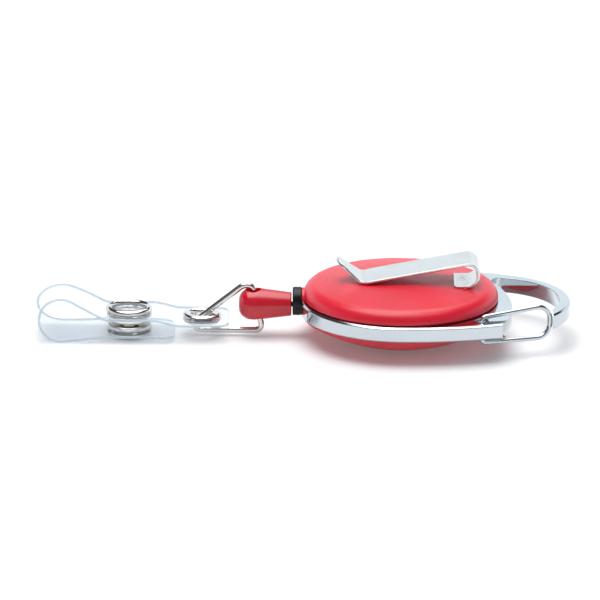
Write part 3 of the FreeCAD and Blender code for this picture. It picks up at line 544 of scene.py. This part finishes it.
def belt_clip():
    """One bent strip from the foot round the curl to the tip."""
    foot_low, foot_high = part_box("belt_clip_foot")
    arm_low, arm_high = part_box("belt_clip_arm")
    centre = (arm_high.x, foot_low.z + CLIP_THICK / 2 + CURL_RADIUS)
    foot = (foot_low.x, foot_low.z + CLIP_THICK / 2)
    contact = (arm_high.x - CONTACT_REACH, arm_low.z + CONTACT_LIFT)
    tip = (arm_low.x + TIP_INSET, arm_low.z + TIP_RISE)
    across = (contact[0] - centre[0], contact[1] - centre[1])
    leave = (atan2(across[1], across[0]) - acos(CURL_RADIUS / hypot(*across))) % (2 * pi)
    path = [foot, (centre[0] - CURL_START, foot[1])]
    path += arc_points(centre, CURL_RADIUS, -pi / 2, leave, ROUND_STEP)
    path += bent([path[-1] + (0.0,), contact + (CONTACT_BEND,), tip + (0.0,)])[1:]
    path = divided(path, PATH_STEP)

    def width_at(along, whole):
        left = whole - along
        half = CLIP_WIDTH / 2
        tip_half = CLIP_TIP_WIDTH / 2
        if left < tip_half:
            bow = tip_half ** 2 - (tip_half - left) ** 2
            return sqrt(max(bow, CLIP_TIP_LEAST ** 2)) / half
        if left < CLIP_TAPER + tip_half:
            return (tip_half + (half - tip_half) * (left - tip_half) / CLIP_TAPER) / half
        return 1.0

    section = rounded_section(CLIP_THICK, CLIP_WIDTH, CLIP_ROUND)
    piece = swept("belt_clip", path, section, "nickel_satin", width_at)
    rivet_low, rivet_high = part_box("clip_rivet")
    rivet_at = (rivet_low.x + rivet_high.x) / 2
    carve(piece, rod("rivet_hole", RIVET_SHANK, 0.0, foot[1] + CURL_RADIUS, rivet_at))
    even_normals(piece)
    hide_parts("belt_clip_foot", "belt_clip_arm")
    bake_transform(piece)


# ------------------------------------------------------------------ strap

STRAP_THICK = 0.55 * MM
STRAP_WIDTH = 12.7 * MM
STRAP_END_ROUND = 2.6 * MM
STRAP_ROUND = 0.14 * MM
LOOP_RADIUS = 4.37 * MM
EYELET_HOLE = 2.4 * MM
HOLE_REACH = 0.02
SNAP_GAP = 0.05 * MM
# Where the upper leg bends, beside the eyelet and on the snap's two sides.
EYELET_SIDE = 0.8 * MM
UPPER_NEAR = 0.9 * MM
UPPER_FAR = 0.05 * MM
UPPER_BEND = 5.0 * MM
RISE_BEND = 3.0 * MM
# Where the lower leg bends, on the snap's two sides, and how far its end hangs.
LOWER_NEAR = 0.6 * MM
LOWER_FAR = 0.6 * MM
LOWER_BEND = 8.0 * MM
FREE_DROP = 0.3 * MM
BLEND_MARGIN = 0.1 * MM
# Faces that count as the strip's edge: by how squarely they face out, and how near the end.
SIDE_FACING = 0.5
END_FACING = 0.7
END_NEAR = 3 * MM


def strap_path():
    """Middle line of the strip from the eyelet end, round the loop, to the free end.

    Also the loop's centre, and two points that bound a tilted band which both legs keep out of.
    """
    upper_low, upper_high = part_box("strap_upper")
    lower_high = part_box("strap_lower")[1]
    snap_low, snap_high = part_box("snap_socket")
    snap = (snap_low.x + snap_high.x) / 2
    edge = (snap_high.x - snap_low.x) / 2 + SNAP_GAP
    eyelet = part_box("eyelet_barrel")[0].x - EYELET_SIDE
    half = STRAP_THICK / 2
    eyelet_height = upper_low.z + half
    upper_height = snap_high.z + half
    lower_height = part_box("snap_stud")[0].z - half
    centre = (upper_low.x + half + LOOP_RADIUS, upper_high.z - half - LOOP_RADIUS)
    rise = (snap - edge - UPPER_FAR, upper_height)
    land = (snap - edge - LOWER_FAR, lower_height)
    leave = tangent_angle(rise, centre, LOOP_RADIUS, True)
    meet = tangent_angle(land, centre, LOOP_RADIUS, False) % (2 * pi)
    leave_point = (centre[0] + LOOP_RADIUS * cos(leave), centre[1] + LOOP_RADIUS * sin(leave))
    upper = bent([
        (upper_high.x, eyelet_height, 0.0),
        (eyelet, eyelet_height, UPPER_BEND),
        (snap + edge + UPPER_NEAR, upper_height, UPPER_BEND),
        rise + (RISE_BEND,),
        leave_point + (0.0,),
    ])
    loop = arc_points(centre, LOOP_RADIUS, leave, meet, ROUND_STEP)
    lower = bent([
        loop[-1] + (0.0,),
        land + (LOWER_BEND,),
        (snap + edge + LOWER_NEAR, lower_height, LOWER_BEND),
        (lower_high.x, lower_height - FREE_DROP, 0.0),
    ])
    slope = (eyelet_height - upper_height) / 2 / (eyelet - snap)
    middle = (upper_height + lower_height) / 2 + slope * (centre[0] - snap)
    reach = (min(eyelet_height, upper_height) - lower_height) / 2 - half - BLEND_MARGIN
    split = ((centre[0] - slope * reach, 0, middle + reach),
             (centre[0] + slope * reach, 0, middle - reach))
    return divided(upper + loop[1:] + lower[1:], PATH_STEP), centre, split


STRAP_SKEW = 0.055
LOOP_PINCH = 0.11
RELAX_GAP = 0.5 * MM
PINCH_DROP = 0.3 * MM


def relax_strap(piece, centre):
    """The loop isn't quite square: its far edge leans out and is rolled a little tighter."""
    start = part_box("snap_socket")[0].x - RELAX_GAP
    end = centre[0] - LOOP_RADIUS
    middle = centre[1] - PINCH_DROP
    for vertex in piece.data.vertices:
        share = min(max((start - vertex.co.x) / (start - end), 0.0), 1.0)
        share = share * share * (3 - 2 * share)
        across = 0.5 + vertex.co.y / STRAP_WIDTH
        vertex.co.x -= STRAP_SKEW * share * across * STRAP_WIDTH
        vertex.co.z -= (vertex.co.z - middle) * LOOP_PINCH * share * across * 2
        vertex.co.z = max(vertex.co.z, CAD_BOX[0].z)


def strap():
    path, centre, (blend_start, blend_end) = strap_path()

    def width_at(along, whole):
        left = min(along, whole - along)
        if left >= STRAP_END_ROUND:
            return 1.0
        half = STRAP_WIDTH / 2
        bow = sqrt(max(STRAP_END_ROUND ** 2 - (STRAP_END_ROUND - left) ** 2, 0.0))
        return (half - STRAP_END_ROUND + bow) / half

    section = rounded_section(STRAP_THICK, STRAP_WIDTH, STRAP_ROUND)
    piece = swept("strap", path, section, ["clear_vinyl", "vinyl_edge"], width_at)
    eyelet_low, eyelet_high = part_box("eyelet_barrel")
    carve(piece, rod("hole", EYELET_HOLE, -HOLE_REACH, HOLE_REACH,
                     (eyelet_low.x + eyelet_high.x) / 2))
    for face in piece.data.polygons:
        outward = abs(face.normal.y) > SIDE_FACING
        at_end = (abs(face.normal.x) > END_FACING
                  and abs(face.center.x - path[0][0]) < END_NEAR)
        face.material_index = 1 if outward or at_end else 0
        face.use_smooth = True
    relax_strap(piece, centre)
    even_normals(piece)
    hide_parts("strap_upper", "strap_lower")
    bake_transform(piece)


DIMPLE_RADIUS = 3.3 * MM
DIMPLE_RISE = 0.42 * MM
DIMPLE_LIFT = 0.02 * MM
DIMPLE_RINGS = 12
# The dimple's middle is lower by the share HOLLOW; CROWN is how steeply that fades outwards.
DIMPLE_HOLLOW = 0.45
DIMPLE_CROWN = 2.2
# The post's end as (radius, height) in mm from its middle outwards.
BUTTON_PROFILE = [(0.0, 0.12), (1.45, 0.12), (1.65, 0.05), (1.7, 0.01)]


def snap_dimple():
    """Clear vinyl pressed up inside the cap ring, with the end of the post below it."""
    ring_low, ring_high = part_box("snap_cap_ring")
    at = (ring_low.x + ring_high.x) / 2
    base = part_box("snap_socket")[1].z + STRAP_THICK
    profile = []
    for index in range(DIMPLE_RINGS + 1):
        share = index / DIMPLE_RINGS
        crown = 1 - DIMPLE_HOLLOW + DIMPLE_HOLLOW * min(share * DIMPLE_CROWN, 1.0)
        rise = DIMPLE_RISE * (1 - share ** 4) * crown
        profile.append((DIMPLE_RADIUS * share, base + DIMPLE_LIFT + rise))
    lathed("snap_dimple", profile, at, "clear_vinyl", "strap")
    button = [(radius * MM, base + height * MM) for radius, height in BUTTON_PROFILE]
    lathed("snap_button", button, at, "nickel", "strap")


# ------------------------------------------------------------------ cord

CORD_RADIUS = 0.5 * MM
CORD_SIDES = 16
CORD_STEPS = 40
CORD_START = 0.6 * MM
CORD_INSET = 0.5 * MM


def cord_strand():
    """The cord in the exit, running out of the collar to the bulb."""
    low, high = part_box("cord_lead")
    knot_low, knot_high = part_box("cord_knot")
    height = (low.z + high.z) / 2
    collar_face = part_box("exit_collar")[0].x
    bulb_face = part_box("cord_end")[1].x
    span = collar_face - bulb_face + 2 * CORD_INSET
    path = [(high.x, height), (collar_face + CORD_START, height)]
    for index in range(CORD_STEPS + 1):
        share = index / CORD_STEPS
        path.append((collar_face + CORD_INSET - span * share, height))
    path.append(((knot_low.x + knot_high.x) / 2, height))
    section = circle_section(CORD_RADIUS, CORD_SIDES)
    piece = swept("cord_strand", path, section, "nylon_cord")
    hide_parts("cord_lead")
    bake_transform(piece)


# ------------------------------------------------------------------ build

make_camera()
make_light()
make_floor()
dress_nodes()
belt_clip()
strap()
snap_dimple()
cord_strand()
bpy.context.scene.view_settings.view_transform = "Standard"
